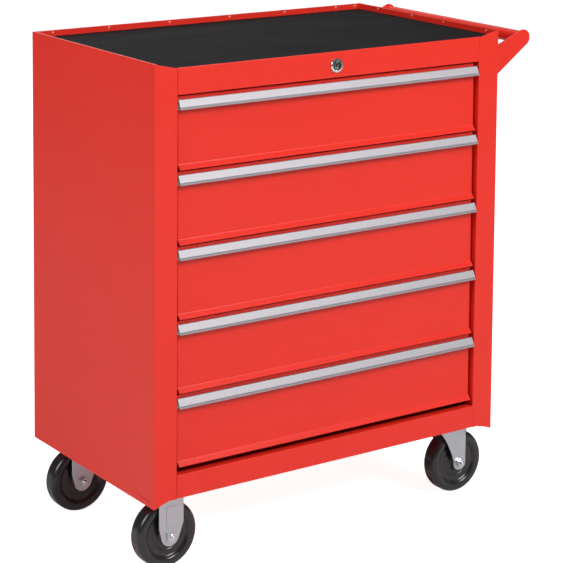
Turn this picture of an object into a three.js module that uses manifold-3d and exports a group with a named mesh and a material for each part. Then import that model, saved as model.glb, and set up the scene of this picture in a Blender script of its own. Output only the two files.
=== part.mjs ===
// Five-drawer roller tool cabinet: folded sheet-steel body, drawers on telescopic slides, a cylinder lock
// with a rear lock bar, a tubular push handle and four casters, two of them swivelling.
// Millimetres, +Z up, drawers open towards -Y. The origin is on the floor, under the middle of the cart.

import * as THREE from 'three';
import { mergeVertices } from 'three/addons/utils/BufferGeometryUtils.js';
import Module from 'manifold-3d';

const wasm = await Module();
wasm.setup();

// ---- Driving dimensions ----

const gap = 0.3; // air between pieces that touch
const sheet = 1; // thickness of the body steel

const width = 630;
const depth = 365;
const rimHeight = 756;
const bodyClearance = 110; // floor to the foot of the side panels
const trayDepth = 8; // rim down to the front lip
const sideHem = 4.5; // rim folded inward and down to the tray floor
const rearHem = 5.5;

const stileWidth = 38.5;
const openingTop = 708.8;
const openingBottom = 153.5;
const railFoot = 118.5;

const drawerCount = 5;
const drawerPitch = 108.9;
const drawerFrontHeight = 105.8;
const drawerGap = drawerPitch - drawerFrontHeight;
const drawerHalfFront = 272;
const drawerHalfBox = 263;
const drawerRecess = 7; // front face behind the stile plane
const drawerRear = 306;
const drawerFloor = 9;
const drawerWall = 95;

const slideLength = 300;
const slideStart = 16;

const pullHalf = 274;
const pullDrop = 4.2; // drawer's top edge down to the pull
const pullReach = 4.3; // how far the pull stands out of the stile plane

const handleReach = 57.5; // side panel to the tube's axis
const handleHeight = 738.2;
const handleTube = 10;
const handleEnd = 13; // radius of the bracket's round end

const lockHeight = 727.4;
const lockReach = 5.2; // how far the key cylinder stands out of the stile plane
const lockBarDrop = 12;
const lockBarY = 323.5;

const casterInset = 52; // front or rear plane to the caster's middle
const rigidX = -267.5;
const swivelX = 258.5;
const swivelOffset = 20;
const wheelRadius = 50;
const casterTop = 123.7;

const innerWidth = width / 2 - sheet - gap;
const openingHalf = width / 2 - stileWidth;
const lipHeight = rimHeight - trayDepth;
const trayFloor = lipHeight - 3.1;
const leverRadius = (lockBarDrop / 2) * Math.SQRT2;

// ---- Materials ----

const paint = { color: 0xd83a32, roughness: 0.35, metalness: 0 };
const zinc = { color: 0xb4b8c1, roughness: 0.35, metalness: 0.9 };
const aluminium = { color: 0xcfcfd6, roughness: 0.3, metalness: 0.9 };
const chrome = { color: 0xd9d9dd, roughness: 0.12, metalness: 1 };
const rubber = { color: 0x2a2b2e, roughness: 0.8, metalness: 0 };
const glossBlack = { color: 0x1f1d21, roughness: 0.18, metalness: 0 };

// ---- Solids ----

// A closed geometry as a solid with its faces outward, whichever way its outline ran.
function solidOf( geometry ) {

	geometry.deleteAttribute( 'normal' );
	geometry.deleteAttribute( 'uv' );
	const merged = mergeVertices( geometry, 1e-4 );
	const position = merged.getAttribute( 'position' );
	const [ a, b, c ] = [ new THREE.Vector3(), new THREE.Vector3(), new THREE.Vector3() ];
	const triangles = [];
	let volume = 0;

	for ( let i = 0; i < merged.index.count; i += 3 ) {

		const corners = [ 0, 1, 2 ].map( ( k ) => merged.index.getX( i + k ) );
		if ( new Set( corners ).size < 3 ) continue;
		triangles.push( corners );
		[ a, b, c ].forEach( ( v, k ) => v.fromBufferAttribute( position, corners[ k ] ) );
		volume += a.dot( b.cross( c ) );

	}

	if ( volume < 0 ) triangles.forEach( ( t ) => t.reverse() );
	return new wasm.Manifold( new wasm.Mesh( {
		numProp: 3,
		vertProperties: new Float32Array( position.array ),
		triVerts: new Uint32Array( triangles.flat() )
	} ) );

}

const join = ( ...solids ) => solids.reduce( ( a, b ) => a.add( b ) );
const cut = ( solid, ...tools ) => tools.reduce( ( a, b ) => a.subtract( b ), solid );

function box( [ x0, x1 ], [ y0, y1 ], [ z0, z1 ] ) {

	const geometry = new THREE.BoxGeometry( Math.abs( x1 - x0 ), y1 - y0, z1 - z0 );
	return solidOf( geometry.translate( ( x0 + x1 ) / 2, ( y0 + y1 ) / 2, ( z0 + z1 ) / 2 ) );

}

// A box on the left (side -1) or the right (side 1), its X given as distances from the middle plane.
const sideBox = ( side, [ near, far ], y, z ) => box( [ side * near, side * far ], y, z );

// A box across the whole width, centred.
const wideBox = ( half, y, z ) => box( [ - half, half ], y, z );

function polygon( points ) {

	return new THREE.Shape( points.map( ( [ u, v ] ) => new THREE.Vector2( u, v ) ) );

}

// An outline in the XZ plane, given its thickness along Y.
function plateXZ( shape, [ y0, y1 ], curveSegments = 12 ) {

	const geometry = new THREE.ExtrudeGeometry( shape, { depth: y1 - y0, bevelEnabled: false, curveSegments } );
	return solidOf( geometry.rotateX( Math.PI / 2 ).translate( 0, y1, 0 ) );

}

// A section in the YZ plane, run along X.
function sectionYZ( points, [ x0, x1 ] ) {

	const geometry = new THREE.ExtrudeGeometry( polygon( points ), { depth: x1 - x0, bevelEnabled: false } );
	const turn = new THREE.Matrix4().makeBasis(
		new THREE.Vector3( 0, 1, 0 ), new THREE.Vector3( 0, 0, 1 ), new THREE.Vector3( 1, 0, 0 ) );
	return solidOf( geometry.applyMatrix4( turn ).translate( x0, 0, 0 ) );

}

// A round piece along Y or, with along 'z', along Z; its flats face down when segments is even.
function rod( radius, [ from, to ], [ a, b ], { segments = 20, along = 'y' } = {} ) {

	const geometry = new THREE.CylinderGeometry( radius, radius, to - from, segments );
	geometry.rotateY( Math.PI / segments ).translate( 0, ( from + to ) / 2, 0 );
	if ( along === 'z' ) return solidOf( geometry.rotateX( Math.PI / 2 ).translate( a, b, 0 ) );
	return solidOf( geometry.translate( a, 0, b ) );

}

// A revolved piece about the Y axis: [ radius, y ] points of a closed section.
function revolved( points, segments ) {

	const section = [ ...points, points[ 0 ] ].map( ( [ r, y ] ) => new THREE.Vector2( r, y ) );
	return solidOf( new THREE.LatheGeometry( section, segments ).rotateY( Math.PI / segments ) );

}

// A named part for the scene graph, made from a solid.
function part( name, solid, look, [ x, y, z ] = [ 0, 0, 0 ] ) {

	const { vertProperties, triVerts } = solid.getMesh();
	const geometry = new THREE.BufferGeometry();
	geometry.setAttribute( 'position', new THREE.BufferAttribute( new Float32Array( vertProperties ), 3 ) );
	geometry.setIndex( new THREE.BufferAttribute( new Uint32Array( triVerts ), 1 ) );
	geometry.computeVertexNormals();
	const mesh = new THREE.Mesh( geometry, new THREE.MeshStandardMaterial( look ) );
	mesh.name = name;
	mesh.position.set( x, y, z );
	return mesh;

}

const sideName = ( side ) => ( side < 0 ? 'left' : 'right' );
const endName = ( end ) => ( end < 0 ? 'front' : 'rear' );

// ---- Body ----

// One folded sheet: side wall, front stile, jamb return, rim hem, rear flange and foot hem.
function sidePanel( side ) {

	const outer = width / 2;
	const at = ( inset, z ) => [ side * ( outer - inset ), z ];
	const rimSlope = 35.5;
	const footSlope = 25;
	const slit = 0.8;
	const hemFrom = 0.8; // inside the stile's sheet, so that the fold joins it

	const stile = polygon( [
		at( 0, bodyClearance ), at( footSlope, railFoot ), at( stileWidth, railFoot ),
		at( stileWidth, lipHeight ), at( rimSlope, lipHeight ), at( 0, rimHeight )
	] );
	const panel = join(
		plateXZ( stile, [ 0, sheet ] ),
		sideBox( side, [ outer - sheet, outer ], [ 0, depth ], [ bodyClearance, rimHeight ] ),
		sideBox( side, [ openingHalf, openingHalf + sheet ], [ 0, 30 ], [ openingBottom, openingTop ] ),
		sideBox( side, [ outer - 14, outer ], [ depth - sheet, depth ], [ railFoot, lipHeight ] ),
		sideBox( side, [ outer - sideHem, outer ], [ hemFrom, depth ], [ rimHeight - sheet, rimHeight ] ),
		sideBox( side, [ outer - sideHem, outer - sideHem + sheet ], [ hemFrom, depth - 4 ], [ trayFloor - sheet, rimHeight ] ),
		sideBox( side, [ outer - 12, outer ], [ 14, depth - 14 ], [ bodyClearance, bodyClearance + sheet ] )
	);
	return cut( panel,
		sideBox( side, [ outer - 3, outer + 1 ], [ 10, 10 + slit ], [ rimHeight - 9, rimHeight + 1 ] ),
		sideBox( side, [ outer - 5, outer + 1 ], [ 9, 45 ], [ railFoot, railFoot + slit ] )
	);

}

function backPanel() {

	const y = depth - sheet - gap - sheet;
	const hemHalf = width / 2 - sideHem - 0.5;
	const hemFace = depth - rearHem;
	const barHalf = 8;
	const guides = [ 300, 560 ].map( ( z ) => join(
		box( [ - 2.5, - 0.8 ], [ lockBarY - 4, y + 0.5 ], [ z, z + 16 ] ),
		box( [ 2 * barHalf + 0.8, 2 * barHalf + 2.5 ], [ lockBarY - 4, y + 0.5 ], [ z, z + 16 ] ),
		box( [ - 2.5, 2 * barHalf + 2.5 ], [ lockBarY + 2.6, lockBarY + 3.8 ], [ z, z + 16 ] )
	) );
	return join(
		wideBox( innerWidth, [ y, y + sheet ], [ railFoot, rimHeight - sheet - gap ] ),
		wideBox( hemHalf, [ y, y + sheet ], [ rimHeight - 10, rimHeight ] ),
		wideBox( hemHalf, [ hemFace, y + sheet ], [ rimHeight - sheet, rimHeight ] ),
		wideBox( hemHalf, [ hemFace, hemFace + sheet ], [ trayFloor - sheet, rimHeight ] ),
		...guides
	);

}

// The tray's floor inside the rim, and the tab that carries the lock rod below it.
function topPanel() {

	const half = width / 2 - sideHem - gap;
	return cut( join(
		wideBox( half, [ sheet + gap, depth - rearHem - gap ], [ trayFloor - sheet, trayFloor ] ),
		wideBox( half - 30, [ sheet + gap, 2 * sheet + gap ], [ trayFloor - 4, trayFloor ] ),
		wideBox( 12, [ 298, 300 ], [ lockHeight - 10, trayFloor ] )
	), rod( 3.6, [ 290, 310 ], [ 0, lockHeight ] ) );

}

function topRail() {

	const half = openingHalf - gap;
	return cut( join(
		wideBox( half, [ 0, sheet ], [ openingTop, lipHeight ] ),
		wideBox( half, [ 0, 14 ], [ openingTop, openingTop + sheet ] ),
		wideBox( half, [ 0, 2.2 ], [ lipHeight - 2.5, lipHeight ] )
	), rod( 9.9, [ - 5, 5 ], [ 0, lockHeight ] ) );

}

function bottomRail() {

	const half = openingHalf - gap;
	return join(
		wideBox( half, [ 0, sheet ], [ railFoot, openingBottom ] ),
		wideBox( half, [ 0, 12 ], [ railFoot, railFoot + sheet ] ),
		wideBox( half, [ 0, 14 ], [ openingBottom - sheet, openingBottom ] )
	);

}

function bottomPanel() {

	const z = casterTop + gap;
	const rear = depth - 2 * sheet - 2 * gap;
	return join(
		wideBox( innerWidth, [ sheet + gap, rear ], [ z, z + sheet ] ),
		wideBox( openingHalf - 10, [ sheet + gap, 2 * sheet + gap ], [ z - 3.5, z + sheet ] ),
		wideBox( innerWidth, [ rear - sheet, rear ], [ z, z + 13 ] ),
		sideBox( - 1, [ innerWidth - sheet, innerWidth ], [ 3, rear ], [ z, z + 13 ] ),
		sideBox( 1, [ innerWidth - sheet, innerWidth ], [ 3, rear ], [ z, z + 13 ] )
	);

}

function topMat() {

	const inset = 1.3; // mat's edge to the rim's fold
	return wideBox( width / 2 - sideHem - inset, [ 2.6, depth - rearHem - inset ], [ trayFloor + gap, lipHeight - 0.6 ] );

}

// A channel behind each side wall that the rear ends of the slides are screwed to.
function rearUpright( side ) {

	const z = [ casterTop + 2 * gap + sheet + 13, trayFloor - sheet - gap ];
	return join(
		sideBox( side, [ openingHalf, openingHalf + sheet ], [ 290, 330 ], z ),
		sideBox( side, [ openingHalf, innerWidth ], [ 290, 290 + sheet ], z ),
		sideBox( side, [ openingHalf, innerWidth ], [ 330 - sheet, 330 ], z )
	);

}

// ---- Push handle ----

// A flat arm that tapers from the side panel to a round end, with a flange against the panel.
function handleBracket( end ) {

	const root = new THREE.Vector2( width / 2 + gap, 0 );
	const centre = new THREE.Vector2( width / 2 + handleReach, handleHeight );
	const tangent = ( z, turn ) => {

		const reach = centre.clone().sub( new THREE.Vector2( root.x, z ) );
		return reach.angle() + turn * Math.asin( handleEnd / reach.length() ) + turn * Math.PI / 2;

	};

	const lower = 681;
	const upper = 729;
	const arm = new THREE.Shape();
	arm.moveTo( root.x, upper );
	arm.lineTo( root.x, lower );
	arm.absarc( centre.x, centre.y, handleEnd, tangent( lower, - 1 ), tangent( upper, 1 ), false );
	const thickness = 3;
	const face = end < 0 ? 6 : depth - 6 - thickness;
	const flange = end < 0 ? [ face, face + 18 ] : [ face + thickness - 18, face + thickness ];
	return join(
		plateXZ( arm, [ face, face + thickness ] ),
		box( [ root.x, root.x + 2.5 ], flange, [ lower + 3, upper - 3 ] )
	);

}

function handleTubing() {

	const [ from, to ] = [ 9 + gap, depth - 9 - gap ];
	const wall = 1.5;
	return revolved( [
		[ handleTube, from ], [ handleTube, to ], [ handleTube - wall, to ], [ handleTube - wall, from ]
	], 28 );

}

// ---- Lock ----

function lockHousing() {

	const housing = join(
		rod( 11, [ - 3.2, - gap ], [ 0, 0 ], { segments: 32 } ),
		rod( 9.5, [ - 1, 26 ], [ 0, 0 ], { segments: 32 } ),
		rod( 12.5, [ 2 * sheet, 7 ], [ 0, 0 ], { segments: 6 } )
	);
	return cut( housing, rod( 7.4, [ - 5, 30 ], [ 0, 0 ], { segments: 32 } ) );

}

// Key cylinder, rod and lever in one turning piece; the lever's pin sits up and to the right at rest.
function lockCylinder() {

	const rodEnd = lockBarY - 3;
	const keyway = cut( rod( 4.6, [ - 6, 1 ], [ 0, 0 ] ), rod( 2.6, [ - 7, 2 ], [ 0, 0 ] ) );
	const lever = new THREE.Shape();
	lever.absarc( 0, 0, 5, Math.PI / 2, 3 * Math.PI / 2, false );
	lever.absarc( leverRadius, 0, 3.6, - Math.PI / 2, Math.PI / 2, false );
	const arm = new THREE.ExtrudeGeometry( lever, { depth: 2.5, bevelEnabled: false, curveSegments: 6 } );
	arm.rotateX( Math.PI / 2 ).translate( 0, rodEnd, 0 ).rotateY( - Math.PI / 4 );
	return join(
		cut( rod( 7, [ - lockReach, 24 ], [ 0, 0 ], { segments: 32 } ), keyway ),
		rod( 3, [ 20, rodEnd ], [ 0, 0 ], { segments: 12 } ),
		solidOf( arm ),
		rod( 2, [ rodEnd - 1, lockBarY + 4 ], [ lockBarDrop / 2, lockBarDrop / 2 ], { segments: 12 } )
	);

}

const drawerBottom = ( n ) => openingTop - drawerGap - drawerFrontHeight - n * drawerPitch;

// Hooks and catches slope alike, so each is a plain bar with nothing to bridge.
const catchTop = drawerWall + 0.2; // drawer's foot up to the top of its catch
const catchTip = drawerRear + 11;
const catchSlope = 1.6; // rise for each millimetre backward
const catchThick = 2;
const catchPlay = 2; // catch to hook when locked
const hookLift = 4; // hook's tip above the catch when unlocked

// A flat bar that drops to put its sloping hooks in front of the drawers' catches.
function lockBar() {

	const slotHalf = 2.6;
	const slotZ = lockHeight + lockBarDrop / 2;
	const tip = catchTip - catchPlay - ( lockBarDrop - hookLift ) / catchSlope;
	const root = lockBarY + 0.5;
	const rise = ( root - tip ) * catchSlope;
	const pieces = [ box( [ 0, 16 ], [ lockBarY, lockBarY + 2 ], [ drawerBottom( drawerCount - 1 ) + catchTop + hookLift, trayFloor - 4 ] ) ];
	for ( let n = 0; n < drawerCount; n ++ ) {

		const foot = drawerBottom( n ) + catchTop + hookLift;
		pieces.push( sectionYZ( [
			[ tip - catchThick, foot ], [ tip, foot ],
			[ root, foot + rise ], [ root, foot + rise + catchThick * catchSlope ]
		], [ 4, 12 ] ) );

	}
	return cut( join( ...pieces ), box( [ 3.2, 11.4 ], [ lockBarY - 1, lockBarY + 3 ], [ slotZ - slotHalf, slotZ + slotHalf ] ) );

}

// The catch sloping up behind a drawer.
function drawerCatch() {

	const root = drawerRear - 0.5;
	const rise = ( catchTip - root ) * catchSlope;
	return sectionYZ( [
		[ root, catchTop - rise - catchThick * catchSlope ], [ catchTip + catchThick, catchTop ],
		[ catchTip, catchTop ], [ root, catchTop - rise ]
	], [ 2, 14 ] );

}

// ---- Drawers, in a frame whose Z starts at the drawer's foot ----

function drawer() {

	const [ face, top ] = [ drawerRecess, drawerFrontHeight ];
	const flare = [
		[ face, 7.6 ], [ 1, 1.2 ], [ 1, 0 ], [ 2.4, 0 ], [ 2.4, 1 ], [ face + sheet, 7 ], [ face + sheet, 8 ]
	];
	const walls = [ - 1, 1 ].map( ( side ) => join(
		sideBox( side, [ drawerHalfFront - sheet, drawerHalfFront ], [ face, 15 ], [ 8, top ] ),
		sideBox( side, [ drawerHalfBox - sheet, drawerHalfBox ], [ face, drawerRear ], [ drawerFloor, drawerWall ] ),
		sideBox( side, [ drawerHalfBox - 2.5, drawerHalfBox ], [ face, drawerRear ], [ drawerWall - 2.5, drawerWall ] )
	) );
	return join(
		wideBox( drawerHalfFront, [ face, face + sheet ], [ 7.6, top ] ),
		sectionYZ( flare, [ - drawerHalfFront, drawerHalfFront ] ),
		wideBox( drawerHalfFront, [ face, face + 11 ], [ top - sheet, top ] ),
		wideBox( drawerHalfBox, [ face, drawerRear ], [ drawerFloor, drawerFloor + sheet ] ),
		wideBox( drawerHalfBox, [ drawerRear - sheet, drawerRear ], [ drawerFloor, drawerWall ] ),
		...walls,
		drawerCatch()
	);

}

// The pull is one extrusion: a flange on the drawer's face, a short web, a sloping front and a lip below it.
function pull() {

	const top = drawerFrontHeight - pullDrop;
	const back = drawerRecess - gap;
	const section = [
		[ back, 0 ], [ 2.4, 0.2 ], [ - 2.9, - 10.2 ], [ - 2.3, - 10.8 ], [ - pullReach, - 11.5 ], [ - pullReach, - 13.6 ],
		[ - 2.9, - 13.6 ], [ - 2.9, - 12.6 ], [ - 1.2, - 11.8 ], [ - 1.6, - 10.2 ], [ 3, - 1.3 ],
		[ back - 1.3, - 1.3 ], [ back - 1.3, - 15 ], [ back, - 15 ]
	];
	return sectionYZ( section.map( ( [ y, z ] ) => [ y, top + z ] ), [ - pullHalf, pullHalf ] );

}

// Telescopic slide: a fixed channel on the jamb and upright, and a smaller one inside it on the drawer.
function fixedSlide( side ) {

	const y = [ slideStart, slideStart + slideLength ];
	const outer = openingHalf - gap;
	return join(
		sideBox( side, [ outer - 1.2, outer ], y, [ - 17.5, 17.5 ] ),
		sideBox( side, [ drawerHalfBox + 3.8, outer ], y, [ 16.3, 17.5 ] ),
		sideBox( side, [ drawerHalfBox + 3.8, outer ], y, [ - 17.5, - 16.3 ] )
	);

}

function movingSlide( side ) {

	const y = [ slideStart + gap, drawerRear - 1 ];
	const inner = drawerHalfBox + gap;
	return join(
		sideBox( side, [ inner, inner + 1.2 ], y, [ - 15, 15 ] ),
		sideBox( side, [ inner, inner + 10 ], y, [ 13.8, 15 ] ),
		sideBox( side, [ inner, inner + 10 ], y, [ - 15, - 13.8 ] )
	);

}

// ---- Casters, in a frame whose origin is in the middle of the mounting face ----

const axleDrop = casterTop - wheelRadius;
const legInner = 17;
const legOuter = 19.5;

const legEnd = 15;
const legCorners = [ [ - 18.5, 12.5 ], [ 23.5, 20 ] ]; // where the leg's edges start to taper, from the axle

// A leg outline in XZ that tapers to a round end below the axle.
function rigidLeg() {

	const [ left, right ] = legCorners;
	const tangent = ( [ x, z ], turn ) => Math.atan2( z, x ) + turn * Math.acos( legEnd / Math.hypot( x, z ) );
	const leg = new THREE.Shape();
	leg.moveTo( left[ 0 ], - 3 );
	leg.lineTo( left[ 0 ], left[ 1 ] - axleDrop );
	leg.absarc( 0, - axleDrop, legEnd, tangent( left, 1 ), 2 * Math.PI + tangent( right, - 1 ), false );
	leg.lineTo( right[ 0 ], right[ 1 ] - axleDrop );
	leg.lineTo( right[ 0 ], - 3 );
	return leg;

}

const mountingPlate = () => box( [ - 43, 43 ], [ - 31, 31 ], [ - 2.5, 0 ] );

function rigidBracket() {

	const legs = [ [ - legOuter, - legInner ], [ legInner, legOuter ] ].map( ( y ) => plateXZ( rigidLeg(), y, 14 ) );
	const flutes = [ [ - legOuter - 1, - legInner ], [ legInner, legOuter + 1 ] ];
	return cut( join(
		mountingPlate(),
		box( legCorners.map( ( [ x ] ) => x ), [ - legOuter, legOuter ], [ - 5.5, - 2 ] ),
		...legs,
		...flutes.map( ( y ) => box( [ - 6.3, 11.3 ], y, [ 9.5 - axleDrop, 45 - axleDrop ] ) )
	), rod( 4.5, [ - 30, 30 ], [ 0, - axleDrop ], { segments: 16 } ) );

}

// The fixed half of the swivel: plate, race cup and king pin with its nut under the fork's crown.
const crownTop = - 12.2;

function swivelPlate() {

	const around = { segments: 32, along: 'z' };
	return join(
		mountingPlate(),
		rod( 27, [ crownTop + gap, - 2 ], [ 0, 0 ], around ),
		rod( 6, [ crownTop - 9, - 2 ], [ 0, 0 ], { segments: 16, along: 'z' } ),
		rod( 10, [ crownTop - 9, crownTop - 2.5 - gap ], [ 0, 0 ], { segments: 6, along: 'z' } )
	);

}

function swivelFork() {

	const foot = [ swivelOffset, - axleDrop ];
	const forkFront = 26;
	const forkEnd = 12;
	const leg = new THREE.Shape();
	leg.moveTo( - forkFront, crownTop );
	leg.quadraticCurveTo( - 5, crownTop - 17, foot[ 0 ] - forkEnd, foot[ 1 ] + 4 );
	leg.absarc( ...foot, forkEnd, Math.PI, 2 * Math.PI, false );
	leg.lineTo( foot[ 0 ] + forkEnd, crownTop );
	const legs = [ [ - legOuter, - legInner ], [ legInner, legOuter ] ].map( ( y ) => plateXZ( leg, y, 8 ) );
	return cut( join(
		box( [ - forkFront, foot[ 0 ] + forkEnd ], [ - legOuter, legOuter ], [ crownTop - 2.5, crownTop ] ),
		...legs
	),
	rod( 6.5, [ crownTop - 5, crownTop + 5 ], [ 0, 0 ], { segments: 16, along: 'z' } ),
	rod( 4.5, [ - 30, 30 ], foot, { segments: 16 } ) );

}

// Bolt with its head at the rear and its nut in front, both just clear of the legs.
function axleBolt() {

	const hex = { segments: 6 };
	return join(
		rod( 4, [ - 29, 22 ], [ 0, 0 ], { segments: 16 } ),
		rod( 7.5, [ legOuter + gap, legOuter + 5 ], [ 0, 0 ], hex ),
		rod( 7.5, [ - legOuter - 6, - legOuter - gap ], [ 0, 0 ], hex )
	);

}

// One moulded wheel: hub, dished web and a tread with round shoulders.
function wheel() {

	const segments = 28;
	const tread = wheelRadius / Math.cos( Math.PI / segments );
	const half = [
		[ 4.5, 16 ], [ 12, 16 ], [ 16, 10 ], [ 33, 9 ], [ 36, 12.5 ], [ 44, 14 ], [ tread - 2, 11.5 ], [ tread, 7.5 ]
	];
	return revolved( [ ...half, ...half.toReversed().map( ( [ r, y ] ) => [ r, - y ] ) ], segments );

}

// ---- Assembly ----

const cart = new THREE.Group();
cart.position.set( - ( handleReach + handleEnd ) / 2, - ( depth - lockReach ) / 2, 0 );

for ( const side of [ - 1, 1 ] ) {

	cart.add( part( `side_panel_${ sideName( side ) }`, sidePanel( side ), paint ) );
	cart.add( part( `rear_upright_${ sideName( side ) }`, rearUpright( side ), zinc ) );

}

cart.add(
	part( 'back_panel', backPanel(), paint ),
	part( 'top_panel', topPanel(), paint ),
	part( 'top_rail', topRail(), paint ),
	part( 'bottom_panel', bottomPanel(), paint ),
	part( 'bottom_rail', bottomRail(), paint ),
	part( 'top_mat', topMat(), rubber ),
	part( 'handle_tube', handleTubing(), paint, [ width / 2 + handleReach, 0, handleHeight ] ),
	part( 'lock_housing', lockHousing(), chrome, [ 0, 0, lockHeight ] ),
	part( 'lock_cylinder', lockCylinder(), chrome, [ 0, 0, lockHeight ] ),
	part( 'lock_bar', lockBar(), zinc )
);

for ( const end of [ - 1, 1 ] ) cart.add( part( `handle_bracket_${ endName( end ) }`, handleBracket( end ), paint ) );

for ( let n = 0; n < drawerCount; n ++ ) {

	const bay = new THREE.Group();
	bay.position.z = drawerBottom( n );
	bay.add( part( `drawer_${ n + 1 }`, drawer(), paint ) );
	bay.add( part( `drawer_pull_${ n + 1 }`, pull(), aluminium ) );

	for ( const side of [ - 1, 1 ] ) {

		const place = [ 0, 0, 50 ];
		bay.add( part( `slide_fixed_${ n + 1 }_${ sideName( side ) }`, fixedSlide( side ), zinc, place ) );
		bay.add( part( `slide_moving_${ n + 1 }_${ sideName( side ) }`, movingSlide( side ), zinc, place ) );

	}

	cart.add( bay );

}

for ( const end of [ - 1, 1 ] ) {

	const y = end < 0 ? casterInset : depth - casterInset;
	const rigid = new THREE.Group();
	rigid.position.set( rigidX, y, casterTop );
	rigid.add(
		part( `rigid_bracket_${ endName( end ) }`, rigidBracket(), zinc ),
		part( `wheel_left_${ endName( end ) }`, wheel(), glossBlack, [ 0, 0, - axleDrop ] ),
		part( `axle_left_${ endName( end ) }`, axleBolt(), zinc, [ 0, 0, - axleDrop ] )
	);

	const swivel = new THREE.Group();
	swivel.position.set( swivelX, y, casterTop );
	swivel.add(
		part( `swivel_plate_${ endName( end ) }`, swivelPlate(), zinc ),
		part( `swivel_fork_${ endName( end ) }`, swivelFork(), zinc ),
		part( `wheel_right_${ endName( end ) }`, wheel(), glossBlack, [ swivelOffset, 0, - axleDrop ] ),
		part( `axle_right_${ endName( end ) }`, axleBolt(), zinc, [ swivelOffset, 0, - axleDrop ] )
	);
	cart.add( rigid, swivel );

}

export default cart;
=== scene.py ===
# Five-drawer roller tool cabinet: painted steel body, drawers with aluminium pulls, mat, lock, push handle, casters.
import math

import bmesh
import bpy
from mathutils import Matrix, Vector


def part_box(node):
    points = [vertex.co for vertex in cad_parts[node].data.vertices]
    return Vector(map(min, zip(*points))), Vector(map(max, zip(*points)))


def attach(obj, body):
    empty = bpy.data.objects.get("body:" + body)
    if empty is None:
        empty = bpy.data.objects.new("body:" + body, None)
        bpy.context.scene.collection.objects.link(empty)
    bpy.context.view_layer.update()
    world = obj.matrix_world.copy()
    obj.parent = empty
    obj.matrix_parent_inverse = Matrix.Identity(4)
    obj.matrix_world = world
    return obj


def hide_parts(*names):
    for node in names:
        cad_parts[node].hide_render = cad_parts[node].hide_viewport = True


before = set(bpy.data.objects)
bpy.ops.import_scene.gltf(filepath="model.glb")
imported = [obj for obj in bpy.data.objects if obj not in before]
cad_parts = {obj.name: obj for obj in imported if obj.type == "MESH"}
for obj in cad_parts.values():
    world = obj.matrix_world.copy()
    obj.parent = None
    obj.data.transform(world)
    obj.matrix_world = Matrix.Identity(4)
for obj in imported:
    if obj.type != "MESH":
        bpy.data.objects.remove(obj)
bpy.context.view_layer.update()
print("frame loaded,", len(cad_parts), "nodes")

# Everything below is in millimetres from the cabinet's own corner: x from its middle plane,
# y back from its front plane, z up from the floor.
mm = 0.001
leftWall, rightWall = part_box("side_panel_left"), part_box("side_panel_right")
datum = Vector(((leftWall[0].x + rightWall[1].x) / 2, leftWall[0].y, 0))
halfWidth = (rightWall[1].x - leftWall[0].x) / 2 / mm
bodyDepth = (leftWall[1].y - leftWall[0].y) / mm
rimHeight = leftWall[1].z / mm


def at(x, y, z):
    return datum + Vector((x, y, z)) * mm


def local(point):
    return (point - datum) / mm


def span(node):
    low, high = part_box(node)
    return local(low), local(high)


# Camera

camera = {
    "place": (-1771.2, -2415.6, 1228.1), "yaw": 34.66, "pitch": 6.32, "roll": 0.47,
    "lens": 130.47, "shift": -0.5857, "sensor": 36, "sees": 100,
}


def placeCamera(c):
    # held nearly level, with its lens shifted down, so that uprights stay upright
    around, down = math.radians(c["yaw"]), math.radians(c["pitch"])
    ahead = Vector((math.sin(around) * math.cos(down), math.cos(around) * math.cos(down), -math.sin(down)))
    bpy.ops.object.camera_add(location=at(*c["place"]))
    view = bpy.context.object
    aim = ahead.to_track_quat("-Z", "Y").to_matrix() @ Matrix.Rotation(math.radians(c["roll"]), 3, "Z")
    view.rotation_euler = aim.to_euler()
    view.data.lens = c["lens"]
    view.data.sensor_width = c["sensor"]
    view.data.shift_y = c["shift"]
    view.data.clip_end = c["sees"]
    bpy.context.scene.camera = view


placeCamera(camera)

# Studio

studio = {
    "sky": 0.12,
    "floor": (0.80, 0.80, 0.80, 1),
    "floorSize": 60,
    "lamps": [  # name, place, aim, size, watts
        ("frontBox", (0.9, -3.1, 2.8), (0, 0, 0.42), 1.5, 114),
        ("leftBox", (-3.3, -0.5, 2.5), (0, 0, 0.4), 1.9, 76),
        ("topBox", (0.2, 0.9, 3.4), (0, 0, 0.5), 1.6, 8),
        ("rearBox", (1.4, 3.4, 2.2), (0, 0, 0.4), 2.2, 15),
    ],
}


def lightStudio(s):
    scene = bpy.context.scene
    scene.view_settings.view_transform = "Standard"
    scene.view_settings.look = "None"
    world = bpy.data.worlds.new("softSky")
    world.use_nodes = True
    sky = world.node_tree.nodes["Background"]
    sky.inputs["Color"].default_value = (1, 1, 1, 1)
    sky.inputs["Strength"].default_value = s["sky"]
    scene.world = world
    for name, place, aim, size, power in s["lamps"]:
        bpy.ops.object.light_add(type="AREA", location=place)
        lamp = bpy.context.object
        lamp.name = name
        lamp.data.size = size
        lamp.data.energy = power
        lamp.rotation_euler = (Vector(aim) - Vector(place)).to_track_quat("-Z", "Y").to_euler()
    bpy.ops.mesh.primitive_plane_add(size=s["floorSize"], location=(0, 0, 0))
    floor = bpy.context.object
    floor.name = "studioFloor"
    return floor


studioFloor = lightStudio(studio)
print("camera and studio set")

# Shader maths: a Reading is one value in a material, and + and * on it add Math nodes.


class Reading:
    def __init__(self, look, socket):
        self.look = look
        self.socket = socket

    def __add__(self, other):
        return self.look.maths("ADD", self, other)

    def __radd__(self, other):
        return self.look.maths("ADD", other, self)

    def __mul__(self, other):
        return self.look.maths("MULTIPLY", self, other)

    def __rmul__(self, other):
        return self.look.maths("MULTIPLY", other, self)


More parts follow.
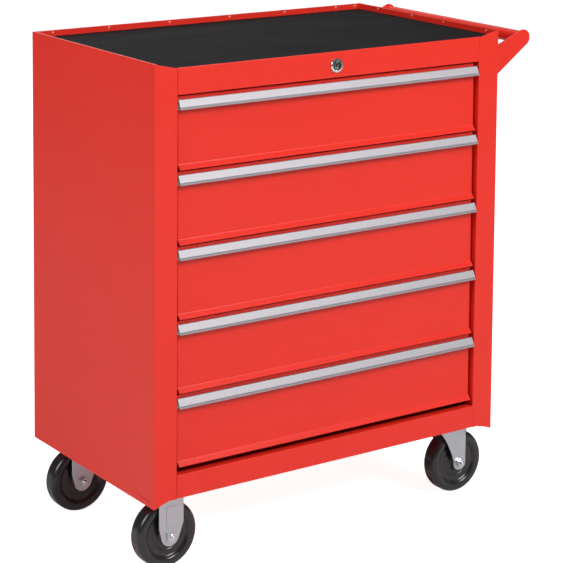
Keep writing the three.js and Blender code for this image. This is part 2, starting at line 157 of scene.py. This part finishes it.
class Look:
    def __init__(self, name, **fixed):
        self.material = bpy.data.materials.new(name)
        self.material.use_nodes = True
        self.tree = self.material.node_tree
        self.shader = self.tree.nodes["Principled BSDF"]
        for socket, value in fixed.items():
            self.shader.inputs[socket.replace("_", " ")].default_value = value

    def put(self, socket, value):
        if isinstance(value, Reading):
            self.tree.links.new(value.socket, socket)
        else:
            socket.default_value = value

    def node(self, kind, settings=None, inputs=None, output=0):
        made = self.tree.nodes.new(kind)
        for key, value in (settings or {}).items():
            if key == "stops":
                ramp = made.color_ramp
                for n, (place, shade) in enumerate(value):
                    stop = ramp.elements[n] if n < 2 else ramp.elements.new(place)
                    stop.position = place
                    stop.color = (shade, shade, shade, 1)
            else:
                setattr(made, key, value)
        for key, value in (inputs or {}).items():
            self.put(made.inputs[key], value)
        return Reading(self, made.outputs[output])

    def maths(self, operation, a, b):
        return self.node("ShaderNodeMath", {"operation": operation}, {0: a, 1: b})

    def place(self, scale=(1, 1, 1), turn=(0, 0, 0)):
        seat = self.node("ShaderNodeTexCoord", output="Object")
        return self.node("ShaderNodeMapping", {"vector_type": "POINT"},
                         {"Vector": seat, "Scale": scale, "Rotation": turn})

    def noise(self, where, scale, detail, roughness=0.5):
        return self.node("ShaderNodeTexNoise", {},
                         {"Vector": where, "Scale": scale, "Detail": detail, "Roughness": roughness})

    def ramp(self, value, *stops):
        return self.node("ShaderNodeValToRGB", {"stops": stops}, {"Fac": value})

    def blend(self, share, first, second):
        # sockets 6 and 7 are a colour mix's A and B, and its output 2 is the colour
        return self.node("ShaderNodeMix", {"data_type": "RGBA"}, {"Factor": share, 6: first, 7: second}, output=2)

    def relief(self, height, depth, strength=1.0):
        normal = self.node("ShaderNodeBump", {}, {"Height": height, "Distance": depth, "Strength": strength})
        self.put(self.shader.inputs["Normal"], normal)

    def colour(self, value):
        self.put(self.shader.inputs["Base Color"], value)

    def roughness(self, value):
        self.put(self.shader.inputs["Roughness"], value)


def redPaint():
    look = Look("redPowderCoat", Coat_Weight=0.12, Coat_Roughness=0.2, Specular_IOR_Level=0.35)
    where = look.place()
    drift = look.noise(where, 5, 2)
    speck = look.noise(where, 900, 2, 0.6)
    look.colour(look.blend(drift, (0.79, 0.0240, 0.0110, 1), (0.86, 0.0290, 0.0145, 1)))
    look.roughness(0.33 + 0.08 * drift + 0.05 * speck)
    peel = look.noise(where, 420, 2, 0.4)
    look.relief(0.7 * peel + 0.3 * speck, 0.00004, 0.5)
    return look.material


def zincPlate():
    look = Look("zincPlate", Metallic=1.0)
    where = look.place()
    cloud = look.noise(where, 28, 4)
    grain = look.noise(look.place((1, 1, 6)), 600, 2)
    look.colour(look.blend(cloud, (0.52, 0.54, 0.58, 1), (0.68, 0.70, 0.74, 1)))
    look.roughness(0.30 + 0.18 * cloud + 0.06 * grain)
    look.relief(grain, 0.00002, 0.5)
    return look.material


def boltZinc():
    look = Look("brightZinc", Metallic=1.0)
    where = look.place()
    cloud = look.noise(where, 160, 3)
    look.colour(look.blend(cloud, (0.62, 0.67, 0.72, 1), (0.80, 0.84, 0.88, 1)))
    look.roughness(0.16 + 0.16 * cloud)
    look.relief(cloud, 0.00002, 0.4)
    return look.material


def satinAluminium():
    look = Look("satinAluminium", Metallic=0.75)
    drawn = look.noise(look.place((2.5, 900, 900)), 1.0, 4, 0.6)  # drawing lines along the length
    fine = look.noise(look.place((14, 2600, 2600)), 1.0, 2)
    look.colour(look.blend(drawn, (0.36, 0.345, 0.368, 1), (0.50, 0.485, 0.512, 1)))
    look.roughness(0.46 + 0.14 * drawn + 0.08 * fine)
    look.relief(0.6 * drawn + 0.4 * fine, 0.00002, 0.6)
    return look.material


def chromePlate():
    look = Look("chromePlate", Metallic=1.0)
    where = look.place()
    smear = look.noise(where, 240, 3)
    look.colour(look.blend(smear, (0.78, 0.79, 0.80, 1), (0.90, 0.90, 0.91, 1)))
    look.roughness(0.06 + 0.10 * smear)
    return look.material


def blackMat():
    look = Look("ribbedBlackMat", Specular_IOR_Level=0.08)
    where = look.place()
    pebble = look.node("ShaderNodeTexVoronoi", {"feature": "SMOOTH_F1"}, {"Vector": where, "Scale": 520.0})
    cloud = look.noise(look.place((4, 14, 4), (0, 0, 0.5)), 1.6, 4, 0.6)
    grain = look.noise(where, 1300, 2)
    shade = look.ramp(cloud, (0.30, 0.0), (0.72, 1.0))
    look.colour(look.blend(shade, (0.0060, 0.0060, 0.0072, 1), (0.0130, 0.0130, 0.0150, 1)))
    look.roughness(0.62 + 0.2 * grain)
    look.relief(0.7 * pebble + 0.3 * grain, 0.00018, 0.55)
    return look.material


def shadedPlugLook():
    # the dark grey is painted shade: the lock's barrel is coloured darker than the chrome ring to stand for the
    # shade on it
    look = Look("shadedPlugLook", Metallic=1.0)
    smear = look.noise(look.place(), 300, 3)
    look.colour(look.blend(smear, (0.16, 0.165, 0.17, 1), (0.34, 0.345, 0.35, 1)))
    look.roughness(0.22 + 0.14 * smear)
    return look.material


def wheelBlack():
    look = Look("mouldedBlack", Coat_Weight=0.35, Coat_Roughness=0.12)
    where = look.place()
    cloud = look.noise(where, 60, 3)
    look.colour(look.blend(cloud, (0.0085, 0.0080, 0.0095, 1), (0.0155, 0.0145, 0.0165, 1)))
    look.roughness(0.22 + 0.14 * cloud)
    look.relief(look.noise(where, 700, 2), 0.00003, 0.35)
    return look.material


def weldHighlightPaint():
    # the pale pink is a painted highlight: the inner weld domes are coloured lighter than the red paint to stand for
    # the bright glints on them
    look = Look("paintedWeldHighlight", Coat_Weight=0.4, Coat_Roughness=0.15)
    highlightSpread = look.noise(look.place(), 500, 3)
    look.colour(look.blend(highlightSpread, (0.86, 0.20, 0.16, 1), (0.90, 0.42, 0.36, 1)))
    look.roughness(0.22 + 0.1 * highlightSpread)
    return look.material


def paleFloor():
    look = Look("paleFloor", Specular_IOR_Level=0.0, Roughness=0.9, Emission_Strength=1.0)
    cloud = look.noise(look.place(), 1.5, 2)
    shade = studio["floor"]
    look.colour(look.blend(cloud, shade, tuple(c * 0.985 for c in shade[:3]) + (1,)))
    seen = look.node("ShaderNodeLightPath", output=0)  # bright to the camera only, so it throws no light up
    look.put(look.shader.inputs["Emission Color"], look.blend(seen, (0, 0, 0, 1), (0.9, 0.9, 0.9, 1)))
    return look.material


finish = {
    "red_paint": redPaint(), "zinc": zincPlate(), "pull_aluminium": satinAluminium(),
    "lock_chrome": chromePlate(), "black_mat": blackMat(), "wheel_black": wheelBlack(),
}
brightZinc, shadedPlugMetal, weldHighlightLook = boltZinc(), shadedPlugLook(), weldHighlightPaint()
studioFloor.data.materials.append(paleFloor())
print("finishes mixed")

# Selecting and shaping

weld = {"cad": 0.00001, "drawn": 0.000004}  # metres within which points become one


def activate(piece):
    bpy.ops.object.select_all(action="DESELECT")
    piece.select_set(True)
    bpy.context.view_layer.objects.active = piece


def openUp(piece, kind="EDGE"):
    activate(piece)
    bpy.ops.object.mode_set(mode="EDIT")
    bpy.ops.mesh.select_mode(type=kind)
    bpy.ops.mesh.select_all(action="DESELECT")


def shut():
    bpy.ops.object.mode_set(mode="OBJECT")


def pick(piece, test, kind="EDGE"):
    mesh = bmesh.from_edit_mesh(piece.data)
    items = {"EDGE": mesh.edges, "FACE": mesh.faces, "VERT": mesh.verts}[kind]
    count = 0
    for item in items:
        if test(item):
            item.select_set(True)
            count += 1
    bmesh.update_edit_mesh(piece.data)
    return count


def along(edge, axis):
    reach = edge.verts[1].co - edge.verts[0].co
    return abs(reach[axis]) > 0.999 * reach.length


def onLine(axis, x=None, y=None, z=None, slack=0.06, shortest=0.3):
    # an edge that runs along axis (0, 1 or 2) at the given coordinates; a pair gives a range
    def test(edge):
        if not along(edge, axis) or edge.calc_length() < shortest * mm:
            return False
        middle = local((edge.verts[0].co + edge.verts[1].co) / 2)
        for value, wanted in zip(middle, (x, y, z)):
            if wanted is None:
                continue
            low, high = wanted if isinstance(wanted, tuple) else (wanted - slack, wanted + slack)
            if not low <= value <= high:
                return False
        return True
    return test


def roundOff(piece, test, radius, segments=4):
    openUp(piece)
    found = pick(piece, test)
    if found:
        bpy.ops.mesh.bevel(offset=radius * mm, offset_type="OFFSET", segments=segments, affect="EDGES",
                           clamp_overlap=False)
    else:
        print("  nothing to round on", piece.name, "at", radius)
    shut()


def modify(piece, kind, **settings):
    activate(piece)
    change = piece.modifiers.new(kind.lower(), kind)
    for key, value in settings.items():
        setattr(change, key, value)
    bpy.ops.object.modifier_apply(modifier=change.name)


def breakEdges(piece, radius, segments=2, angle=32):
    modify(piece, "BEVEL", width=radius * mm, segments=segments, limit_method="ANGLE",
           angle_limit=math.radians(angle), use_clamp_overlap=True, miter_outer="MITER_ARC")


def smooth(piece, angle=38):
    activate(piece)
    bpy.ops.object.shade_smooth_by_angle(angle=math.radians(angle))
    modify(piece, "WEIGHTED_NORMAL", keep_sharp=True, weight=50)


def traced(node, name):
    # a copy of a CAD solid with its flat faces whole again
    piece = bpy.data.objects.new(name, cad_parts[node].data.copy())
    bpy.context.scene.collection.objects.link(piece)
    piece.data.materials.clear()
    activate(piece)
    if piece.data.has_custom_normals:
        bpy.ops.mesh.customdata_custom_splitnormals_clear()
    openUp(piece)
    bpy.ops.mesh.select_all(action="SELECT")
    bpy.ops.mesh.remove_doubles(threshold=weld["cad"])
    bpy.ops.mesh.dissolve_limited(angle_limit=math.radians(0.6))
    shut()
    return piece


def place(piece, body, slotName, *nodes, look=None):
    piece.data.materials.clear()
    piece.data.materials.append(look or finish[slotName])
    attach(piece, body)
    if nodes:
        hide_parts(*nodes)


def twin(piece, name, shift):
    copy = bpy.data.objects.new(name, piece.data.copy())
    bpy.context.scene.collection.objects.link(copy)
    openUp(copy, "VERT")
    bpy.ops.mesh.select_all(action="SELECT")
    bpy.ops.transform.translate(value=Vector(shift) * mm)
    shut()
    return copy


def settle(piece):
    activate(piece)
    bpy.ops.object.transform_apply(location=True, rotation=True, scale=True)


def strand(name, first):
    # one loose vertex at a point, ready to be drawn out
    bpy.ops.mesh.primitive_plane_add(size=2 * mm, location=at(*first))
    piece = bpy.context.object
    piece.name = piece.data.name = name
    settle(piece)
    openUp(piece, "VERT")
    corner = at(*first) + Vector((1, 1, 0)) * mm
    pick(piece, lambda v: (v.co - corner).length > 0.1 * mm, "VERT")
    bpy.ops.mesh.delete(type="VERT")
    bpy.ops.mesh.select_all(action="SELECT")
    bpy.ops.transform.translate(value=at(*first) - corner)
    return piece


def drawOut(steps):
    for step in steps:
        bpy.ops.mesh.extrude_region_move(TRANSFORM_OT_translate={"value": Vector(step) * mm})


def lathe(name, profile, centre, axis, steps):
    # profile is (radius, distance along the axis, x or y) in order
    def point(r, a):
        return Vector((r, a, 0)) if axis == "y" else Vector((a, r, 0))
    centre = Vector(centre)
    piece = strand(name, centre + point(*profile[0]))
    drawOut([point(*b) - point(*a) for a, b in zip(profile, profile[1:])])
    bpy.ops.mesh.select_all(action="SELECT")
    turn = {"x": (1, 0, 0), "y": (0, 1, 0)}[axis]
    bpy.ops.mesh.spin(steps=steps, angle=2 * math.pi, center=at(*centre), axis=turn)
    bpy.ops.mesh.select_all(action="SELECT")
    bpy.ops.mesh.remove_doubles(threshold=weld["drawn"])
    bpy.ops.mesh.normals_make_consistent(inside=False)
    shut()
    return piece


def ribbon(name, start, run, steps):
    # a strip: a line from start along run, drawn out step by step
    piece = strand(name, start)
    drawOut([run])
    bpy.ops.mesh.select_all(action="SELECT")
    drawOut(steps)
    bpy.ops.mesh.select_all(action="SELECT")
    shut()
    return piece


def joined(name, *pieces):
    activate(pieces[0])
    for piece in pieces:
        piece.select_set(True)
    bpy.ops.object.join()
    pieces[0].name = pieces[0].data.name = name
    return pieces[0]


def fuse(piece, other):
    modify(piece, "BOOLEAN", operation="UNION", object=other, solver="EXACT")
    bpy.data.objects.remove(other)


def block(name, low, high):
    low, high = Vector(low), Vector(high)
    bpy.ops.mesh.primitive_cube_add(size=1, location=at(*((low + high) / 2)))
    piece = bpy.context.object
    piece.name = piece.data.name = name
    piece.scale = (high - low) * mm
    settle(piece)
    return piece


def cutOut(name, outline, front, back):
    # a flat plate from an outline of (x, z) points
    piece = strand(name, (outline[0][0], front, outline[0][1]))
    drawOut([(b[0] - a[0], 0, b[1] - a[1]) for a, b in zip(outline, outline[1:] + outline[:1])])
    bpy.ops.mesh.select_all(action="SELECT")
    bpy.ops.mesh.remove_doubles(threshold=weld["drawn"])
    bpy.ops.mesh.edge_face_add()
    bpy.ops.mesh.extrude_region_move(TRANSFORM_OT_translate={"value": (0, (back - front) * mm, 0)})
    bpy.ops.mesh.select_all(action="SELECT")
    bpy.ops.mesh.normals_make_consistent(inside=False)
    shut()
    return piece


def arc(centre, radius, start, end, steps):
    turns = [start + (end - start) * n / steps for n in range(steps + 1)]
    return [(centre[0] + radius * math.cos(t), centre[1] + radius * math.sin(t)) for t in turns]


# Body sheets

# corner stays under 0.8 and rim under 1: wider ones fold the side wall over the ends of its hem's slots
folds = {
    "corner": 0.75, "jamb": 1.5, "jambReach": (160, 700), "stile": 38.5, "rim": 0.9, "rimInside": 0.8,
    "hemWidth": 4.5, "rearHem": 5.5, "hem": 1.2, "rail": 1.3, "cutEdge": 0.28,
}


def bodySide(side, node):
    piece = traced(node, node + "_sheet")
    f, outer = folds, side * halfWidth
    jamb = side * (halfWidth - f["stile"])
    roundOff(piece, onLine(2, x=outer, y=0.0), f["corner"], 5)
    roundOff(piece, onLine(2, x=outer, y=bodyDepth), f["corner"], 5)
    roundOff(piece, onLine(2, x=jamb, y=0.0, z=f["jambReach"]), f["jamb"], 4)
    roundOff(piece, onLine(1, x=outer, z=rimHeight), f["rim"], 4)
    roundOff(piece, onLine(1, x=outer - side * f["hemWidth"], z=rimHeight), f["rimInside"], 3)
    breakEdges(piece, f["cutEdge"])
    smooth(piece)
    place(piece, "cabinet", "red_paint", node)


for side, node in ((-1, "side_panel_left"), (1, "side_panel_right")):
    bodySide(side, node)


def rail(node):
    piece = traced(node, node + "_sheet")
    low, high = span(node)
    roundOff(piece, onLine(0, y=0.0, z=high.z), folds["hem"], 3)
    roundOff(piece, onLine(0, y=0.0, z=low.z), folds["rail"], 3)
    breakEdges(piece, folds["cutEdge"])
    smooth(piece)
    place(piece, "cabinet", "red_paint", node)


rail("top_rail")
rail("bottom_rail")


def plainSheet(node, slotName="red_paint", body="cabinet"):
    piece = traced(node, node + "_sheet")
    breakEdges(piece, folds["cutEdge"])
    smooth(piece)
    place(piece, body, slotName, node)


for node in ("back_panel", "top_panel", "bottom_panel"):
    plainSheet(node)
for node in ("rear_upright_left", "rear_upright_right"):
    plainSheet(node, "zinc")
plainSheet("lock_bar", "zinc", "lock_bar")
print("body folded")

# Drawers

drawerShape = {
    "face": 7.0, "top": 105.8, "half": 272.0, "upright": (8, 106), "flare": 7.6,
    "sideFold": 1.5, "topFold": 1.2, "flareFold": 1.6,
}


def drawerBoxes(d):
    first = traced("drawer_1", "drawer_1_box")
    foot = span("drawer_1")[0].z
    upright = tuple(foot + z for z in d["upright"])
    for side in (-1, 1):
        roundOff(first, onLine(2, x=side * d["half"], y=d["face"], z=upright), d["sideFold"], 4)
    roundOff(first, onLine(0, y=d["face"], z=foot + d["top"]), d["topFold"], 4)
    roundOff(first, onLine(0, y=d["face"], z=foot + d["flare"]), d["flareFold"], 3)
    breakEdges(first, folds["cutEdge"])
    smooth(first)
    for n in range(1, 6):
        node = "drawer_%d" % n
        piece = first if n == 1 else twin(first, node + "_box", (0, 0, span(node)[0].z - foot))
        place(piece, node, "red_paint", node)


drawerBoxes(drawerShape)
print("drawers folded")

# Pulls: one drawn aluminium section along the drawer's top

pullShape = {
    "half": 274.0, "wall": 1.3, "edge": 0.12, "crown": 0.2,
    # y from the front plane, z from crown below the pull's top
    "path": [(6.7, -15), (6.7, -1.7), (6.5, -0.8), (5.9, -0.2), (5.2, 0), (3.3, 0.2), (2.6, 0.05), (2.1, -0.4),
             (-2.55, -9.5), (-2.75, -10.0), (-2.6, -10.4), (-2.35, -10.75), (-2.4, -11.0), (-3.2, -11.15),
             (-3.9, -11.35), (-4.2, -11.65), (-4.3, -12.1), (-4.3, -13.6)],
}


def drawerPulls(p):
    top = span("drawer_pull_1")[1].z - p["crown"]
    path = p["path"]
    first = ribbon("drawer_pull_1_section", (-p["half"], path[0][0], top + path[0][1]), (2 * p["half"], 0, 0),
                   [(0, b[0] - a[0], b[1] - a[1]) for a, b in zip(path, path[1:])])
    modify(first, "SOLIDIFY", thickness=p["wall"] * mm, offset=1.0, use_even_offset=True, use_rim=True)
    breakEdges(first, p["edge"], 1, 50)
    smooth(first, 30)
    for n in range(1, 6):
        node = "drawer_pull_%d" % n
        rise = span(node)[1].z - p["crown"] - top
        piece = first if n == 1 else twin(first, node + "_section", (0, 0, rise))
        place(piece, "drawer_%d" % n, "pull_aluminium", node)


drawerPulls(pullShape)
print("pulls drawn")

# Mat

matShape = {"corner": 3.0, "edge": 0.7}


def layMat(m):
    low, high = span("top_mat")
    piece = block("top_mat_sheet", low, high)
    for x in (low.x, high.x):
        for y in (low.y, high.y):
            roundOff(piece, onLine(2, x=x, y=y), m["corner"], 5)
    breakEdges(piece, m["edge"], 3, 40)
    smooth(piece)
    place(piece, "cabinet", "black_mat", "top_mat")


layMat(matShape)
print("mat laid")

# Push handle

handle = {
    "axis": (372.5, 738.2), "tube": 10.0, "wall": 1.5, "chamfer": 0.5, "ends": (9.3, 355.7), "end": 13.0,
    "root": 315.3, "lower": 681.0, "upper": 729.0, "inset": 6.0, "thick": 3.0,
    "flange": 2.5, "flangeWidth": 18.0, "flangeStep": 3, "edge": 0.6,
}


def pushHandle(h):
    radius, inner, (front, back) = h["tube"], h["tube"] - h["wall"], h["ends"]
    cx, cz, cut = *h["axis"], h["chamfer"]
    profile = [(radius, front + cut), (radius, back - cut), (radius - cut, back), (inner, back), (inner, front),
               (radius - cut, front), (radius, front + cut)]
    tube = lathe("handle_tube_drawn", profile, (cx, 0, cz), "y", 64)
    smooth(tube, 30)
    place(tube, "cabinet", "red_paint", "handle_tube")

    def touch(z, side):
        reach = Vector((cx - h["root"], cz - z))
        return math.atan2(reach.y, reach.x) + side * (math.asin(h["end"] / reach.length) + math.pi / 2)
    outline = [(h["root"], h["upper"]), (h["root"], h["lower"])]
    outline += arc((cx, cz), h["end"], touch(h["lower"], -1), touch(h["upper"], 1), 40)
    for end, outside, inward in (("front", h["inset"], 1), ("rear", bodyDepth - h["inset"], -1)):
        faces = sorted((outside, outside + inward * h["thick"]))
        flange = sorted((outside, outside + inward * h["flangeWidth"]))
        arm = cutOut("handle_bracket_%s_pressed" % end, outline, *faces)
        foot = block("flange", (h["root"], flange[0], h["lower"] + h["flangeStep"]),
                     (h["root"] + h["flange"], flange[1], h["upper"] - h["flangeStep"]))
        fuse(arm, foot)
        breakEdges(arm, h["edge"], 3, 40)
        smooth(arm)
        place(arm, "cabinet", "red_paint", "handle_bracket_%s" % end)


pushHandle(handle)
print("handle bent")

# Lock

lockShape = {
    "z": 727.4, "nut": 12.5, "nutDepth": 5, "nutPlace": 4.5, "nutEdge": 0.5,
    "rodEnd": 320.5, "lever": 2.5, "leverRoot": 5.0, "leverTip": 3.6,
    "pinReach": 6.0, "pin": 2.0, "pinFoot": 1, "pinEnd": 327.5, "pinEdge": 0.4,
    "ring": [(7.4, 26), (7.4, -2.5), (7.9, -3.2), (9.3, -3.2), (9.8, -3.05), (10.9, -1.7), (11, -1.4),
             (11, -0.3), (9.5, -0.3), (9.5, 25.5), (9.0, 26), (7.4, 26)],
    "plug": [(0, -4.7), (2.2, -4.7), (2.6, -4.4), (2.6, 1), (4.6, 1), (4.6, -4.8), (4.9, -5.2), (6.5, -5.2),
             (7, -4.8), (7, 24), (3, 24), (3, 320.5), (0, 320.5)],
}


def lock(k):
    z = k["z"]
    ring = lathe("lock_housing_turned", k["ring"], (0, 0, z), "y", 64)
    bpy.ops.mesh.primitive_cylinder_add(vertices=6, radius=k["nut"] * mm, depth=k["nutDepth"] * mm,
                                        location=at(0, k["nutPlace"], z), rotation=(math.pi / 2, 0, 0))
    nut = bpy.context.object
    settle(nut)
    breakEdges(nut, k["nutEdge"])
    ring = joined("lock_housing_turned", ring, nut)
    smooth(ring, 25)
    place(ring, "cabinet", "lock_chrome", "lock_housing")
    plug = lathe("lock_cylinder_turned", k["plug"], (0, 0, z), "y", 56)
    tip = Vector((k["pinReach"], 0, k["pinReach"]))
    tilt = math.atan2(tip.z, tip.x)
    outline = arc((0, z), k["leverRoot"], tilt + math.pi / 2, tilt + 1.5 * math.pi, 16)
    outline += arc((tip.x, z + tip.z), k["leverTip"], tilt - math.pi / 2, tilt + math.pi / 2, 14)
    lever = cutOut("lever", outline, k["rodEnd"] - k["lever"], k["rodEnd"])
    radius, foot, end, cut = k["pin"], k["rodEnd"] - k["pinFoot"], k["pinEnd"], k["pinEdge"]
    pin = lathe("pin", [(0, foot), (radius, foot), (radius, end - cut), (radius - cut, end), (0, end)],
                (tip.x, 0, z + tip.z), "y", 24)
    plug = joined("lock_cylinder_turned", plug, lever, pin)
    smooth(plug, 25)
    # the barrel takes the dark painted-shade metal
    place(plug, "lock_cylinder", "lock_chrome", "lock_cylinder", look=shadedPlugMetal)


lock(lockShape)
print("lock turned")

# Slides

slideShape = {"fold": 0.6}


def slides(s):
    for kind, body in (("fixed", "cabinet"), ("moving", None)):
        for side in ("left", "right"):
            source = "slide_%s_1_%s" % (kind, side)
            first = traced(source, source + "_rolled")
            breakEdges(first, s["fold"], 3, 60)
            smooth(first)
            foot = span(source)[0].z
            for n in range(1, 6):
                node = "slide_%s_%d_%s" % (kind, n, side)
                piece = first if n == 1 else twin(first, node + "_rolled", (0, 0, span(node)[0].z - foot))
                place(piece, body or "drawer_%d" % n, "zinc", node)


slides(slideShape)
print("slides rolled")

# Casters

caster = {
    "rows": (52.0, 313.0), "rigid": -267.5, "swivel": 258.5, "trail": 20.0, "top": 123.7, "axle": 50.0,
    "leg": (17.0, 19.5), "legSides": (-18.5, 23.5), "legEdge": 1.8, "pressedEdge": 0.45, "plateEdge": 0.6,
    "crown": -12.2, "crownThick": 2.5, "forkFront": 26.0, "forkEnd": 12.0, "bend": 2.2, "rearEdge": 1.2,
    "bow": (-5, -17), "bowEnd": 4, "bowSteps": 24,
}


def rigidBrackets(c):
    for end, row in zip(("front", "rear"), c["rows"]):
        node = "rigid_bracket_" + end
        piece = traced(node, node + "_pressed")
        for y in (row - c["leg"][1], row + c["leg"][1]):
            for x in c["legSides"]:
                roundOff(piece, onLine(2, x=c["rigid"] + x, y=y), c["legEdge"], 4)
        breakEdges(piece, c["pressedEdge"], 3)
        smooth(piece)
        place(piece, "cabinet", "zinc", node)


def swivelPlates(c):
    for end in ("front", "rear"):
        node = "swivel_plate_" + end
        piece = traced(node, node + "_pressed")
        breakEdges(piece, c["plateEdge"], 3, 40)
        smooth(piece)
        place(piece, "cabinet", "zinc", node)


def swivelForks(c):
    footX, footZ = c["swivel"] + c["trail"], c["axle"]
    crown = c["top"] + c["crown"]
    start = (c["swivel"] - c["forkFront"], crown)
    bow = (c["swivel"] + c["bow"][0], crown + c["bow"][1])
    end = (footX - c["forkEnd"], footZ + c["bowEnd"])
    curve = [tuple((1 - t) ** 2 * start[k] + 2 * t * (1 - t) * bow[k] + t * t * end[k] for k in (0, 1))
             for t in (n / c["bowSteps"] for n in range(c["bowSteps"] + 1))]
    outline = curve + arc((footX, footZ), c["forkEnd"], math.pi, 2 * math.pi, 28) + [(footX + c["forkEnd"], crown)]
    for name, row in zip(("front", "rear"), c["rows"]):
        inner, outer = c["leg"]
        node = "swivel_fork_" + name
        fork = block(node + "_pressed", (start[0], row - outer, crown - c["crownThick"]),
                     (footX + c["forkEnd"], row + outer, crown))
        for faces in ((row - outer, row - inner), (row + inner, row + outer)):
            fuse(fork, cutOut("leg", outline, *faces))
        for y in (row - outer, row + outer):
            roundOff(fork, onLine(0, y=y, z=crown), c["bend"], 4)
            roundOff(fork, onLine(2, x=footX + c["forkEnd"], y=y), c["rearEdge"], 3)
        breakEdges(fork, c["pressedEdge"], 3)
        smooth(fork)
        place(fork, "swivel_" + name, "zinc", node)


rigidBrackets(caster)
swivelPlates(caster)
swivelForks(caster)
print("casters pressed")

# Wheels and their bolts

wheelShape = {
    "steps": 96,
    "half": [(4.5, 15.6), (4.9, 16), (11.2, 16), (12, 15.4), (13.2, 12.2), (15.2, 10.3), (18, 9.9), (22.6, 9.6),
             (23.2, 10.0), (24.4, 10.0), (25, 9.5), (31, 9.0), (32.8, 9.1), (34.2, 10.1), (35.4, 11.8),
             (36.6, 12.9), (38.4, 13.5), (41.5, 14), (44, 13.9), (46.4, 13.1), (48.1, 11.7), (49.3, 9.9),
             (49.85, 8.2), (50, 6.4)],
}
boltShape = {
    "steps": 32, "hex": 7.5, "hexEdge": 0.7, "nut": (-25.5, -19.8), "head": (19.8, 24.5),
    "shank": [(0, -28.7), (2.8, -28.7), (3.3, -28.4), (4, -27.4), (4, 22), (0, 22)],
}


def axles():
    for side, x in (("left", caster["rigid"]), ("right", caster["swivel"] + caster["trail"])):
        for end, row in zip(("front", "rear"), caster["rows"]):
            yield side, end, x, row


def wheels(w):
    whole = w["half"] + [(r, -y) for r, y in reversed(w["half"])]
    homeX, homeRow = caster["rigid"], caster["rows"][0]
    first = lathe("wheel_left_front_moulded", whole + whole[:1], (homeX, homeRow, caster["axle"]), "y", w["steps"])
    smooth(first, 28)
    for side, end, x, row in axles():
        node = "wheel_%s_%s" % (side, end)
        home = (x, row) == (homeX, homeRow)
        piece = first if home else twin(first, node + "_moulded", (x - homeX, row - homeRow, 0))
        place(piece, node, "wheel_black", node)


def hexagon(name, x, row, z, reach, b):
    front, back = (row + y for y in reach)
    bpy.ops.mesh.primitive_cylinder_add(vertices=6, radius=b["hex"] * mm, depth=(back - front) * mm,
                                        location=at(x, (front + back) / 2, z), rotation=(math.pi / 2, 0, 0))
    piece = bpy.context.object
    piece.name = name
    settle(piece)
    breakEdges(piece, b["hexEdge"], 3)
    return piece


def bolts(b):
    z, homeX, homeRow = caster["axle"], caster["rigid"], caster["rows"][0]
    shank = lathe("shank", b["shank"], (homeX, homeRow, z), "y", b["steps"])
    nut = hexagon("nut", homeX, homeRow, z, b["nut"], b)
    head = hexagon("head", homeX, homeRow, z, b["head"], b)
    first = joined("axle_left_front_bolt", shank, nut, head)
    smooth(first, 25)
    for side, end, x, row in axles():
        node = "axle_%s_%s" % (side, end)
        home = (x, row) == (homeX, homeRow)
        piece = first if home else twin(first, node + "_bolt", (x - homeX, row - homeRow, 0))
        place(piece, "cabinet" if side == "left" else "swivel_" + end, "zinc", node, look=brightZinc)


wheels(wheelShape)
bolts(boltShape)
print("wheels and bolts turned")

# Spot welds under the paint

weldShape = {
    "radius": 2.0, "height": 0.7, "z": 752.6, "outsideHeight": 0.22, "outsideDrop": 8, "steps": 20,
    "dome": [(0, 1), (0.35, 0.92), (0.7, 0.62), (0.92, 0.25)],  # share of the radius, share of the height
    "root": 0.1,
    "back": (-282, -182, -70, 45, 155, 261, 301), "right": (307, 215, 132, 25), "outside": (306, 218, 147, 38),
}


def weldDots(w):
    def dome(x, y, z, axis, tall):
        profile = [(w["radius"] * r, -tall * a) for r, a in w["dome"]] + [(w["radius"], w["root"])]
        return lathe("dome", profile, (x, y, z), axis, w["steps"])
    backFace, sideFace = bodyDepth - folds["rearHem"], halfWidth - folds["hemWidth"]
    inner = [dome(x, backFace, w["z"], "y", w["height"]) for x in w["back"]]
    inner += [dome(sideFace, y, w["z"], "x", w["height"]) for y in w["right"]]
    dots = joined("weld_dots_inside", *inner)
    smooth(dots, 60)
    # the inner domes take the pale pink painted highlight colour
    place(dots, "cabinet", "red_paint", look=weldHighlightLook)
    drop = rimHeight - w["outsideDrop"]
    outer = joined("weld_dots_outside", *[dome(-halfWidth, y, drop, "x", w["outsideHeight"]) for y in w["outside"]])
    smooth(outer, 60)
    place(outer, "cabinet", "red_paint")


weldDots(weldShape)
print("welds raised")
